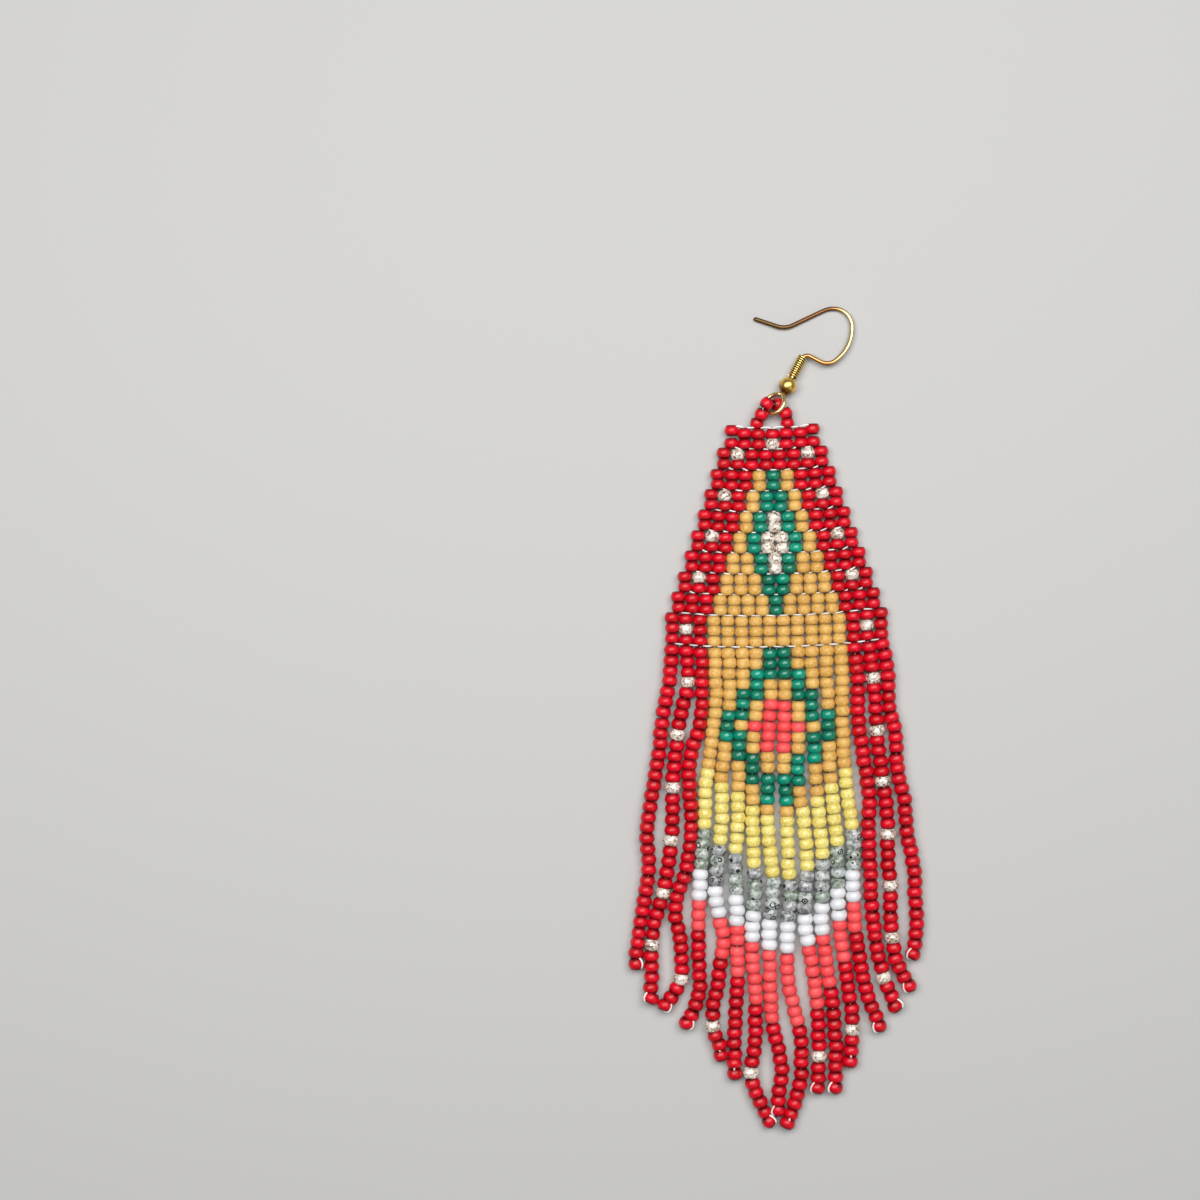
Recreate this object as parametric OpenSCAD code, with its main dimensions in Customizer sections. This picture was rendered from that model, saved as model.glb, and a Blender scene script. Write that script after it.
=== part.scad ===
/* [Beads] */
// Outer diameter of one seed bead
bead_d = 2.2; // [1.8:0.1:2.6]
// Room that one bead takes along its thread
bead_pitch = 1.66; // [1.4:0.02:1.9]
// The same on a strand of the fringe, where it may be set apart from the panel's
strand_pitch = 1.66; // [1.4:0.02:1.9]
// Diameter of the beads of the fringe, which are wider than the panel's
strand_d = 2.4; // [2.2:0.1:2.6]
// Distance between neighbouring columns of beads
column_pitch = 2.23; // [2.21:0.01:2.7]

/* [Panel] */
// Columns of beads in the first row of the panel
first_columns = 7; // [5:1:9]
// Rows of the panel that are two beads tall
short_rows = 9; // [7:1:9]
// How far the ends of the last row stand higher than its middle
row_rise = 0.9; // [0:0.1:1.5]
// Turn of the panel as it lies, its lower end to the right
panel_turn = 1.3; // [0:0.1:3]
// Thickness of the web that joins the columns
web_t = 1.4; // [0.8:0.1:1.8]

/* [Fringe] */
// Sides of each strand's tube
strand_sides = 8; // [8:1:10]
// Rings of each tube between two stations of its route
rings_per_station = 2; // [1:1:3]

/* [Hook] */
// Diameter of the hook's round wire
wire_d = 0.7; // [0.6:0.05:0.9]
// Diameter of the ball on the shank
ball_d = 2.8; // [2.4:0.1:3]
// Diameter of the fine wire of the coil
coil_wire_d = 0.35; // [0.28:0.01:0.35]
// Turns of the coil
coil_turns = 10; // [8:1:10]
// Radius of the eye ring, at the middle of its wire
eye_r = 1.75; // [1.7:0.05:1.8]
// Turn of the eye ring out of the hook's plane
eye_turn = 38; // [36:1:39]
// Slope of the hook as it lies, from the eye ring down to the bow
hook_slope = 6.6; // [6.4:0.1:6.8]

/* [Hidden] */
$fn = 48;
bead_r = bead_d / 2;
strand_r = strand_d / 2;
wire_r = wire_d / 2;
ball_r = ball_d / 2;

// The middle of the panel's top edge
panel_top = [-0.7, 46.25];
// Beads in one column of the last row
last_row_beads = 3;
// Every column is a little shorter than its beads' room, so that the rows show
row_seam = 0.16;
// The web's edge lies this far inside the columns' ends
web_in = 0.3;
// Room between the panel's last row and the strands' first beads
fringe_gap = 0.12;
row_height = 2 * bead_pitch;
rows = short_rows + 1;
last_columns = first_columns + short_rows;
panel_height = short_rows * row_height + last_row_beads * bead_pitch;

function columns(row) = first_columns + row;
function row_beads(row) = row < short_rows ? 2 : last_row_beads;
function column_x(row, i) = (i - (columns(row) - 1) / 2) * column_pitch;
// A row is straight in its middle and rises towards its two ends
function rise(row, x) =
    let (reach = (columns(row) - 1) / 2 * column_pitch)
    (0.4 + 0.6 * row / short_rows) * row_rise * pow(abs(x) / reach, 2.5);
// A point of the panel, x to the right of its middle and y below its top edge, as it lies
function lay(x, y) = [
    panel_top[0] + x * cos(panel_turn) + y * sin(panel_turn),
    panel_top[1] + x * sin(panel_turn) - y * cos(panel_turn)
];

// A tube along a route: points, directions and radii, with its ends closed
module tube(points, ways, radii, sides) {
    count = len(points);
    rings = [
        for (k = [0 : count - 1])
            let (
                way = ways[k] / norm(ways[k]),
                across = cross(way, [0, 0, 1]) / norm(cross(way, [0, 0, 1])),
                up = cross(across, way)
            )
            for (j = [0 : sides - 1])
                let (angle = (j + 0.5) * 360 / sides)
                points[k] + radii[k] * (cos(angle) * across + sin(angle) * up)
    ];
    walls = [
        for (k = [0 : count - 2], j = [0 : sides - 1])
            let (next = (j + 1) % sides)
            [k * sides + j, k * sides + next, (k + 1) * sides + next, (k + 1) * sides + j]
    ];
    first_end = [for (j = [sides - 1 : -1 : 0]) j];
    last_end = [for (j = [0 : sides - 1]) (count - 1) * sides + j];
    polyhedron(concat(rings), concat(walls, [first_end], [last_end]), convexity = 6);
}

// Panel: columns of beads side by side on one web, each row half a column off the row above
module bead_panel() {
    web_edge = [
        for (row = [0 : rows - 1], end = [0, 1])
            let (
                x = column_x(row, columns(row) - 1),
                y = row * row_height + end * row_beads(row) * bead_pitch - rise(row, x)
            )
            [x, y + (end == 0 ? web_in : -web_in)]
    ];
    right = [for (p = web_edge) lay(p[0], p[1])];
    left = [for (k = [len(web_edge) - 1 : -1 : 0]) lay(-web_edge[k][0], web_edge[k][1])];
    foot = [
        for (i = [last_columns - 2 : -1 : 1])
            let (x = column_x(rows - 1, i))
            lay(x, panel_height - web_in - rise(rows - 1, x))
    ];
    crown = [
        for (i = [1 : first_columns - 2])
            let (x = column_x(0, i))
            lay(x, web_in - rise(0, x))
    ];
    color("crimson") union() {
        translate([0, 0, bead_r - web_t / 2])
            linear_extrude(web_t) polygon(concat(right, foot, left, crown));
        for (row = [0 : rows - 1], i = [0 : columns(row) - 1]) {
            x = column_x(row, i);
            low = row * row_height + row_beads(row) * bead_pitch - row_seam / 2 - rise(row, x);
            place = lay(x, low);
            translate([place[0], place[1], bead_r]) rotate([0, 0, panel_turn])
                rotate([-90, 0, 0]) cylinder(r = bead_r, h = row_beads(row) * bead_pitch - row_seam);
        }
    }
}

// Routes of the strands, a row each from left to right: length as the room of so many beads,
// then how far the strand lies to the right of its own head at each tenth of its length
strands = [
    [31.7, -0.4, -1.4, -2.0, -2.7, -3.6, -4.1, -3.8, -4.6, -5.5, -6.0],
    [34.9,  0.3, -1.0, -1.7, -2.3, -2.3, -2.9, -3.9, -5.4, -5.6, -5.7],
    [36.0,  0.5,  0.0, -1.6, -1.7, -1.5, -2.3, -4.0, -3.3, -3.2, -6.4],
    [37.2,  0.5, -0.1, -1.0, -1.5, -1.7, -2.3, -2.5, -2.5, -2.5, -4.9],
    [40.2,  0.4,  0.1, -1.0, -1.0, -1.6, -2.0, -0.9, -1.6, -2.5, -0.5],
    [41.7,  0.2, -0.4, -0.6, -0.7, -1.1, -0.9, -0.8, -0.9, -1.3, -1.3],
    [46.6,  0.0, -0.6, -0.6, -0.5, -0.3, -0.7, -0.2, -0.1, -0.6,  3.3],
    [45.4,  0.0, -0.4, -0.4, -0.3,  0.5, -0.1,  0.0,  0.4,  1.8,  0.6],
    [46.9,  0.1, -0.1,  0.3,  0.5,  0.9,  0.5,  0.8,  2.6,  2.5,  0.1],
    [43.3, -0.1,  0.0,  0.0,  1.0,  1.4,  1.0,  2.1,  3.0,  3.3,  3.0],
    [43.3, -0.2,  0.3,  0.6,  1.3,  1.7,  1.5,  2.3,  3.3,  3.8,  3.6],
    [40.8,  0.2,  0.4,  0.7,  1.3,  1.9,  1.9,  2.5,  3.5,  4.2,  3.8],
    [37.8,  0.4,  0.4,  0.7,  1.4,  2.2,  2.1,  2.3,  3.2,  4.5,  6.7],
    [36.0,  0.7,  0.7,  1.5,  2.4,  2.4,  2.6,  2.8,  3.5,  4.8,  7.1],
    [34.3,  0.9,  1.3,  1.7,  2.5,  3.2,  3.2,  3.6,  3.7,  4.6,  7.2],
    [31.3,  1.0,  1.2,  2.2,  2.5,  3.6,  4.0,  5.1,  5.4,  5.5,  4.9]
];
stations = len(strands[0]) - 1;

function head_x(i) = column_x(rows - 1, i);
function head(i) = lay(head_x(i), panel_height + fringe_gap - rise(rows - 1, head_x(i)));
// Each stretch between two stations keeps its length, however far it goes sideways
function knot(i, k) =
    k == 0 ? head(i) :
    let (
        stretch = strands[i][0] * strand_pitch / stations,
        before = k == 1 ? 0 : strands[i][k - 1],
        aside = strands[i][k] - before,
        last = knot(i, k - 1)
    )
    [last[0] + aside, last[1] - sqrt(stretch * stretch - aside * aside)];
// A smooth line through the stations, which leaves the panel straight
function along(a, b, c, d, t) =
    0.5 * (2 * b + (c - a) * t + (2 * a - 5 * b + 4 * c - d) * t * t + (3 * b - a - 3 * c + d) * t * t * t);
function route(i) =
    let (
        knots = [for (k = [0 : stations]) knot(i, k)],
        padded = concat([2 * knots[0] - knots[1]], knots, [2 * knots[stations] - knots[stations - 1]]),
        steps = stations * rings_per_station
    )
    [
        for (s = [0 : steps])
            let (
                k = min(floor(s / rings_per_station), stations - 1),
                t = s / rings_per_station - k,
                p = along(padded[k], padded[k + 1], padded[k + 2], padded[k + 3], t)
            )
            [p[0], p[1], strand_r]
    ];

module strand(i) {
    line = route(i);
    last = len(line) - 1;
    ways = [for (k = [0 : last]) line[min(k + 1, last)] - line[max(k - 1, 0)]];
    radii = [for (k = [0 : last]) (k == 0 || k == last ? 0.7 : 1) * strand_r / cos(180 / strand_sides)];
    tube(line, ways, radii, strand_sides);
}

// Fringe: the strands hang side by side from one thread, which a slim bar between them stands for
module bead_fringe() {
    bar_d = 1;
    color("firebrick") union() {
        for (i = [0 : last_columns - 1]) strand(i);
        for (i = [0 : last_columns - 2]) hull() {
            for (end = [i, i + 1])
                translate([head(end)[0], head(end)[1] - bead_pitch / 2, strand_r]) sphere(d = bar_d, $fn = 8);
        }
    }
}

// Beads of the hanging loop, a row each from the left foot over the eye ring to the right foot:
// place of the middle, the way that the hole runs, in degrees left of straight up, and its climb
loop_beads = [
    [-3.15, 47.15, 1.2,    8,  10],
    [-2.5,  48.5,  2.3,  -15,  15],
    [-1.65, 50.2,  2.3,  -40,   0],
    [ 0.1,  50.15, 1.3,  -88, -30],
    [ 1.45, 48.7,  1.45, -160,  0],
    [ 1.75, 47.15, 1.1,  -180,  0]
];
// Shape of one bead along its hole: offset in parts of its length, radius in parts of its own
bead_rings = [[-0.42, 0.5], [-0.3, 0.88], [0, 1], [0.3, 0.88], [0.42, 0.5]];

function bead_way(bead) = [-sin(bead[3]) * cos(bead[4]), cos(bead[3]) * cos(bead[4]), sin(bead[4])];

// Hanging loop: six beads on a thread, bent through the eye ring
module hanging_loop() {
    ways = [for (bead = loop_beads, ring = bead_rings) bead_way(bead)];
    places = [
        for (bead = loop_beads, ring = bead_rings)
            [bead[0], bead[1], bead[2]] + ring[0] * bead_pitch * bead_way(bead)
    ];
    radii = [for (bead = loop_beads, ring = bead_rings) ring[1] * bead_r];
    color("crimson") tube(places, ways, radii, 10);
}

// The hook is drawn flat, from the middle of the ball up the shank and round the bow to the tip,
// and then lies with its slope. Its line is a row for each straight run and the bend after it:
// length of the run, radius of the bend, turn of the bend with left above zero
hook_line = [
    [4.9, 1, -90.5],
    [1.85, 2.25, 65.5],
    [0, 6.95, 52.5],
    [0, 2.95, 89],
    [0, 3.9, 26.5],
    [5.4, 3.4, -44.5],
    [3.55, 0, 0]
];
ball_place = [1.75, 53.1, 1.68];
// Direction of the shank, from the right of the picture plane
shank_way = 62.5;
// Direction of the line through the tip and the top of the bow, on which the hook lies
rest_way = 8;
// Middle of the eye ring: how far below the ball's middle, and how far left of the shank's line
eye_below = 3.46;
eye_left = 0.55;
knuckle_r = 0.42;
// A ball a hair thicker than the wire joins each run to the next
joint_r = wire_r + 0.015;

function heading(k) = k == 0 ? shank_way : heading(k - 1) + hook_line[k - 1][2];
function run_start(k) =
    k == 0 ? [0, 0] :
    let (
        row = hook_line[k - 1],
        from = run_start(k - 1) + row[0] * [cos(heading(k - 1)), sin(heading(k - 1))],
        side = row[2] > 0 ? 90 : -90
    )
    from + row[1] * [
        cos(heading(k - 1) + side) - cos(heading(k) + side),
        sin(heading(k - 1) + side) - sin(heading(k) + side)
    ];

module as_hook_lies() {
    translate(ball_place) rotate([0, 0, rest_way]) rotate([-hook_slope, 0, 0]) rotate([0, 0, -rest_way])
        children();
}

module on_shank(distance) {
    rotate([0, 0, shank_way - 90]) translate([0, distance, 0]) children();
}

module ear_hook() {
    eye_aside = eye_left / cos(eye_turn);
    // The shank meets the ring where its line crosses it
    knuckle_below = eye_below - sqrt(eye_r * eye_r - eye_aside * eye_aside);
    color("goldenrod") as_hook_lies() union() {
        for (k = [0 : len(hook_line) - 1]) {
            row = hook_line[k];
            start = run_start(k);
            translate([start[0], start[1], 0]) sphere(joint_r);
            if (row[0] > 0)
                translate([start[0], start[1], 0]) rotate([0, 0, heading(k) - 90])
                    rotate([-90, 0, 0]) cylinder(r = wire_r, h = row[0]);
            if (row[1] > 0) {
                side = row[2] > 0 ? 90 : -90;
                bend = start + row[0] * [cos(heading(k)), sin(heading(k))];
                middle = bend + row[1] * [cos(heading(k) + side), sin(heading(k) + side)];
                from = row[2] > 0 ? heading(k) - 90 : heading(k + 1) + 90;
                translate([bend[0], bend[1], 0]) sphere(joint_r);
                translate([middle[0], middle[1], 0]) rotate([0, 0, from])
                    rotate_extrude(angle = abs(row[2])) translate([row[1], 0]) circle(wire_r);
            }
        }
        on_shank(-eye_below) rotate([0, -eye_turn, 0]) translate([-eye_aside, 0, 0])
            rotate_extrude() translate([eye_r, 0]) circle(wire_r);
        on_shank(-knuckle_below) rotate([-90, 0, 0]) cylinder(r = wire_r, h = knuckle_below);
        on_shank(-knuckle_below) sphere(knuckle_r);
    }
}

// Coil: fine wire wound closely up the shank from the ball. It ends on the shank's left, away from
// the bend
module hook_coil() {
    turn_steps = 12;
    turn_pitch = coil_wire_d * 1.03;
    winding_r = wire_r + coil_wire_d / 2 + 0.1;
    first = ball_r + coil_wire_d / 2 + 0.04;
    last_step = coil_turns * turn_steps;
    line = [
        for (s = [0 : last_step])
            let (angle = 180 + s * 360 / turn_steps)
            [winding_r * cos(angle), winding_r * sin(angle), first + turn_pitch * s / turn_steps]
    ];
    ways = [
        for (s = [0 : last_step])
            let (angle = 180 + s * 360 / turn_steps)
            [-sin(angle), cos(angle), turn_pitch / (2 * PI * winding_r)]
    ];
    radii = [for (s = [0 : last_step]) coil_wire_d / 2];
    color("gold") as_hook_lies() on_shank(0) rotate([-90, 0, 0]) tube(line, ways, radii, 6);
}

// Ball: a bead with a low collar at each end of its bore
module ball_bead() {
    bore_r = wire_r + 0.05;
    collar_r = 0.6;
    color("gold") as_hook_lies() on_shank(0) rotate([-90, 0, 0]) difference() {
        union() {
            sphere(ball_r);
            translate([0, 0, -ball_r]) cylinder(r = collar_r, h = ball_d);
        }
        translate([0, 0, -ball_d]) cylinder(r = bore_r, h = 2 * ball_d);
    }
}

ear_hook();
hook_coil();
ball_bead();
hanging_loop();
bead_panel();
bead_fringe();
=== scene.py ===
"""Seed bead tassel earring: a brick-stitched panel with a long bead fringe, on a brass fish hook.

It lies face up. X is to the right, Y from the fringe towards the hook, Z up out of the surface.
Sizes below are in millimetres, and meshes are made in metres.
"""
import math

import bpy
import numpy as np
from mathutils import Matrix, Vector


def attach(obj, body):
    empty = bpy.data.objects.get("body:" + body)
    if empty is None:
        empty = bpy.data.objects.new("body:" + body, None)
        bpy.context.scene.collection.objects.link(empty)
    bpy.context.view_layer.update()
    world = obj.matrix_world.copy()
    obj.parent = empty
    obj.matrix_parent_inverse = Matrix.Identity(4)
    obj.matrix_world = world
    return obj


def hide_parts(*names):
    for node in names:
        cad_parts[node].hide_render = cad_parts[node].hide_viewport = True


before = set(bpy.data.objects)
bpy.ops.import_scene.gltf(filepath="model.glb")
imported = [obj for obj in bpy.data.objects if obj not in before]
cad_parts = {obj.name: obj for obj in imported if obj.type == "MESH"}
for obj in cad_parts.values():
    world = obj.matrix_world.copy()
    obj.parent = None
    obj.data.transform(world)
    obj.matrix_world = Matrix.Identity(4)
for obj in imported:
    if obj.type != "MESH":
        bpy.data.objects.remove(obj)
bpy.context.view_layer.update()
MM = 0.001
scene = bpy.context.scene


# ---- Camera ----
# The photograph looks straight down on the earring, which lies right of the picture's middle.
# One of its pixels covers 0.16 mm at the height of the beads' holes.
PIXEL = 0.16
PICTURE_PIXELS = 1200
EARRING_PIXEL = (776.5, 718)
CAMERA_HEIGHT = 350
BEAD_R = 1.1


def put_in(name, data):
    """A new object in the scene."""
    thing = bpy.data.objects.new(name, data)
    scene.collection.objects.link(thing)
    return thing


camera_data = bpy.data.cameras.new("photo_camera")
camera_data.sensor_width = 36
camera_data.lens = camera_data.sensor_width * (CAMERA_HEIGHT - BEAD_R) / (PICTURE_PIXELS * PIXEL)
camera_data.clip_start = 0.01
camera = put_in("photo_camera", camera_data)
camera.location = (
    (PICTURE_PIXELS / 2 - EARRING_PIXEL[0]) * PIXEL * MM,
    (EARRING_PIXEL[1] - PICTURE_PIXELS / 2) * PIXEL * MM,
    CAMERA_HEIGHT * MM,
)
scene.camera = camera


# ---- Floor and light ----
# A plain pale table, and one large soft light nearly overhead, wider than it is deep, as a window
# gives. The highlight that lies across every bead comes from it. A weak low light fills the shade.
def srgb(code):
    """An sRGB hex colour as the linear RGBA that Blender's sockets take."""
    parts = [int(code[k:k + 2], 16) / 255 for k in (1, 3, 5)]
    return tuple(c / 12.92 if c <= 0.04045 else ((c + 0.055) / 1.055) ** 2.4 for c in parts) + (1,)


def add_node(tree, kind, inputs=None, **settings):
    """Adds a node with its settings. Each input takes a value, another node's output to link, or
    another node, which stands for its first output in use."""
    node = tree.nodes.new(kind)
    for name, value in settings.items():
        setattr(node, name, value)
    for socket, value in (inputs or {}).items():
        if isinstance(value, bpy.types.Node):
            value = next(output for output in value.outputs if output.enabled)
        if isinstance(value, bpy.types.NodeSocket):
            tree.links.new(value, node.inputs[socket])
        else:
            node.inputs[socket].default_value = value
    return node


def new_material(name):
    """An empty node material, its tree, and the place on the object, which its patterns hang on."""
    material = bpy.data.materials.new(name)
    material.use_nodes = True
    tree = material.node_tree
    tree.nodes.clear()
    return material, tree, add_node(tree, "ShaderNodeTexCoord").outputs["Object"]


# Matt painted board: an even pale ground, for soft shadows
table_paint, tree, place = new_material("matt_painted_board")
grain = add_node(tree, "ShaderNodeTexNoise", {"Vector": place, "Scale": 1 / (2.5 * MM)})
relief = add_node(tree, "ShaderNodeBump", {"Height": grain, "Distance": 0.02 * MM, "Strength": 0.3})
paint = add_node(tree, "ShaderNodeBsdfPrincipled", {
    "Base Color": srgb("#BDBCBA"), "Roughness": 0.85, "Normal": relief})
add_node(tree, "ShaderNodeOutputMaterial", {"Surface": paint})

TABLE_SIDE = 1200
half = TABLE_SIDE / 2 * MM
table_mesh = bpy.data.meshes.new("table_top")
table_mesh.from_pydata(
    [(-half, -half, 0), (half, -half, 0), (half, half, 0), (-half, half, 0)], [], [(0, 1, 2, 3)])
table_mesh.materials.append(table_paint)
table_top = put_in("table_top", table_mesh)

for name, spot, (width, depth), watts in (
    ("softbox_overhead", (-30, 130, 420), (640, 250), 3.05),
    ("softbox_low", (260, -220, 260), (240, 240), 0.12),
):
    lamp = bpy.data.lights.new(name, "AREA")
    lamp.shape = "RECTANGLE"
    lamp.size = width * MM
    lamp.size_y = depth * MM
    lamp.energy = watts
    light = put_in(name, lamp)
    light.location = Vector(spot) * MM
    light.rotation_euler = (-light.location).to_track_quat("-Z", "Y").to_euler()

world = bpy.data.worlds.new("studio_air")
world.use_nodes = True
air = world.node_tree.nodes["Background"].inputs
air["Color"].default_value = srgb("#F2F4F7")
air["Strength"].default_value = 0.12
scene.world = world
scene.view_settings.view_transform = "Standard"


# ---- Bead panel ----
# A flat panel of size 10 seed beads in brick stitch: nine rows two beads tall and one row three
# beads tall, each row half a column off the row above. The thread runs up and down through the
# columns and crosses from one to the next in the seams between the rows.
BEAD_PITCH = 1.66
COLUMN_PITCH = 2.23
FIRST_COLUMNS = 7
ROWS = 10
PANEL_TURN = math.radians(1.3)
PANEL_TOP = (-0.7, 46.25)
BORDER_COLUMNS = 3
DIAMOND_ROW = 5
# How far the last row's ends rise, the first row's share of that, and how straight the middle stays
ROW_RISE, FIRST_ROW_SHARE, RISE_POWER = 0.9, 0.4, 2.5


def columns(row):
    return FIRST_COLUMNS + row


def row_beads(row):
    return 3 if row == ROWS - 1 else 2


def column_x(row, i):
    return (i - (columns(row) - 1) / 2) * COLUMN_PITCH


def rise(row, x):
    """A row is straight in its middle and rises towards its two ends."""
    reach = (columns(row) - 1) / 2 * COLUMN_PITCH
    share = FIRST_ROW_SHARE + (1 - FIRST_ROW_SHARE) * row / (ROWS - 1)
    return share * ROW_RISE * (abs(x) / reach) ** RISE_POWER


def lay(x, y):
    """A point of the panel, x right of its middle and y below its top edge, as it lies."""
    c, s = math.cos(PANEL_TURN), math.sin(PANEL_TURN)
    return PANEL_TOP[0] + x * c + y * s, PANEL_TOP[1] + x * s - y * c


def panel_colour(row, i, k):
    """Red border with silver dots, and a green diamond with a silver heart on a gold field. k counts
    the beads of column i down."""
    from_edge = min(i, columns(row) - 1 - i)
    dot = 1 if row == ROWS - 1 else 0
    if row == 0:
        return "silver" if (from_edge, k) == (3, 1) else "red"
    if from_edge == 1 and row % 2 == 1 and k == dot:
        return "silver"
    if from_edge < BORDER_COLUMNS or row == 1:
        return "red"
    aside = abs(i - (columns(row) - 1) / 2)
    if row == ROWS - 1:
        return field_colour(aside, k)
    reach = 1.5 - abs(row - DIAMOND_ROW) / 2
    if aside > reach:
        return "gold"
    return "green" if aside == reach else "silver"


def field_colour(aside, n):
    """Ten straight columns, from the panel's last row down the fringe: a green diamond with a
    coral heart on gold, then bands that dip towards the middle. n counts the beads down."""
    round_heart = abs(n - 10) + 2 * aside
    if round_heart <= 3.5:
        return "coral"
    if 6 <= round_heart <= 8.5:
        return "green"
    dip = 4.5 - aside
    for colour, end in (("gold", 15), ("yellow", 21), ("grey", 25), ("white", 28)):
        if n < end + dip:
            return colour
    return "coral" if n < 31 + 2 * dip else "red"


def band(a, b, sides):
    """Faces between two rings of points, which are numbered from a on and from b on."""
    return [(a + j, a + (j + 1) % sides, b + (j + 1) % sides, b + j) for j in range(sides)]


def turned(name, outline, sides):
    """A closed ring of faces: an outline of (radius, height) pairs turned round Z. Its point
    attribute "end" goes from 0 at the outer wall to 1 at the hole."""
    angles = np.arange(sides) * 2 * math.pi / sides
    radius, height = np.array(outline, dtype=float).T * MM
    points = np.stack([
        np.outer(radius, np.cos(angles)),
        np.outer(radius, np.sin(angles)),
        np.outer(height, np.ones(sides)),
    ], axis=-1).reshape(-1, 3)
    rings = len(outline)
    faces = [face for k in range(rings) for face in band(k * sides, (k + 1) % rings * sides, sides)]
    mesh = bpy.data.meshes.new(name)
    mesh.from_pydata(points.tolist(), [], faces)
    inwards = (radius.max() - radius) / (radius.max() - radius.min())
    mesh.attributes.new("end", "FLOAT", "POINT").data.foreach_set("value", np.repeat(inwards, sides))
    return mesh


# A drawn bead: glass tube cut short and tumbled hot, so its edges are round. The outline of its
# wall, from the hole's lower edge outwards and back, is turned round Z and smoothed once.
BEAD_SIDES = 12
bead_shapes = {}
for name, lower in (
    ("rounded_bead", [(0.40, -0.63), (0.83, -0.99), (1.19, -0.12)]),
    ("square_bead", [(0.40, -0.63), (0.865, -0.98), (1.185, -0.18)]),
):
    outline = lower + [(r, -z) for r, z in reversed(lower)]
    bead_shapes[name] = bpy.data.objects.new(name, turned(name, outline, BEAD_SIDES))


# Opaque glass is coloured through, with a fire-polished skin. The eye sees a full colour, a small
# soft highlight on every bead, and beads of one batch that differ a little from each other. The
# ends have painted shade, darker towards the hole, where the beads meet. Gold and yellow are mottled.
def opaque_glass(name, deep, light, speck, rough, gloss=0.5, coat=0.0, speck_share=0.3,
                 fleck_share=0.0, ends=0.35):
    """A batch lies between deep and light, with clouds of the speck's colour in it."""
    material, tree, place = new_material(name)
    tint = add_node(tree, "ShaderNodeAttribute", attribute_name="tint").outputs["Fac"]
    batch = add_node(tree, "ShaderNodeMix", {0: tint, 6: srgb(deep), 7: srgb(light)}, data_type="RGBA")
    # Clouds in the glass, 0.35 mm across, and deeper flecks between them
    grit = add_node(tree, "ShaderNodeTexNoise", {
        "Vector": place, "Scale": 1 / (0.35 * MM), "Detail": 3.0, "Roughness": 0.6})
    clouds = add_node(tree, "ShaderNodeMapRange", {
        "Value": grit, "From Min": 0.5, "From Max": 0.62, "To Max": speck_share})
    skin = add_node(tree, "ShaderNodeMix", {0: clouds, 6: batch, 7: srgb(speck)}, data_type="RGBA")
    flecks = add_node(tree, "ShaderNodeMapRange", {
        "Value": grit, "From Min": 0.46, "From Max": 0.38, "To Max": fleck_share})
    # Painted shade at the bead's ends: darker towards the hole, where the next bead meets it, by at most
    # ends
    end = add_node(tree, "ShaderNodeAttribute", attribute_name="end").outputs["Fac"]
    painted_seam_shade = add_node(tree, "ShaderNodeMapRange", {
        "Value": end, "From Min": 0.02, "From Max": 0.38, "To Max": ends})
    # The darker of the glass's own flecks and the painted shade at the ends
    depth = add_node(tree, "ShaderNodeMath", {0: painted_seam_shade, 1: flecks}, operation="MAXIMUM")
    deeper = add_node(tree, "ShaderNodeMix", {0: depth, 6: skin, 7: srgb("#000000")}, data_type="RGBA")
    dull = add_node(tree, "ShaderNodeMapRange", {
        "Value": grit, "From Min": 0.3, "From Max": 0.7,
        "To Min": rough - 0.05, "To Max": rough + 0.07})
    # Ripple of the hot glass, in humps of 0.5 mm
    ripple = add_node(tree, "ShaderNodeTexNoise", {
        "Vector": place, "Scale": 1 / (0.5 * MM), "Detail": 1.0})
    relief = add_node(tree, "ShaderNodeBump", {"Height": ripple, "Distance": 0.03 * MM, "Strength": 0.6})
    shader = add_node(tree, "ShaderNodeBsdfPrincipled", {
        "Base Color": deeper, "Roughness": dull, "IOR": 1.52, "Specular IOR Level": gloss,
        "Coat Weight": coat, "Coat Roughness": 0.2, "Normal": relief})
    add_node(tree, "ShaderNodeOutputMaterial", {"Surface": shader})
    return material


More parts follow.
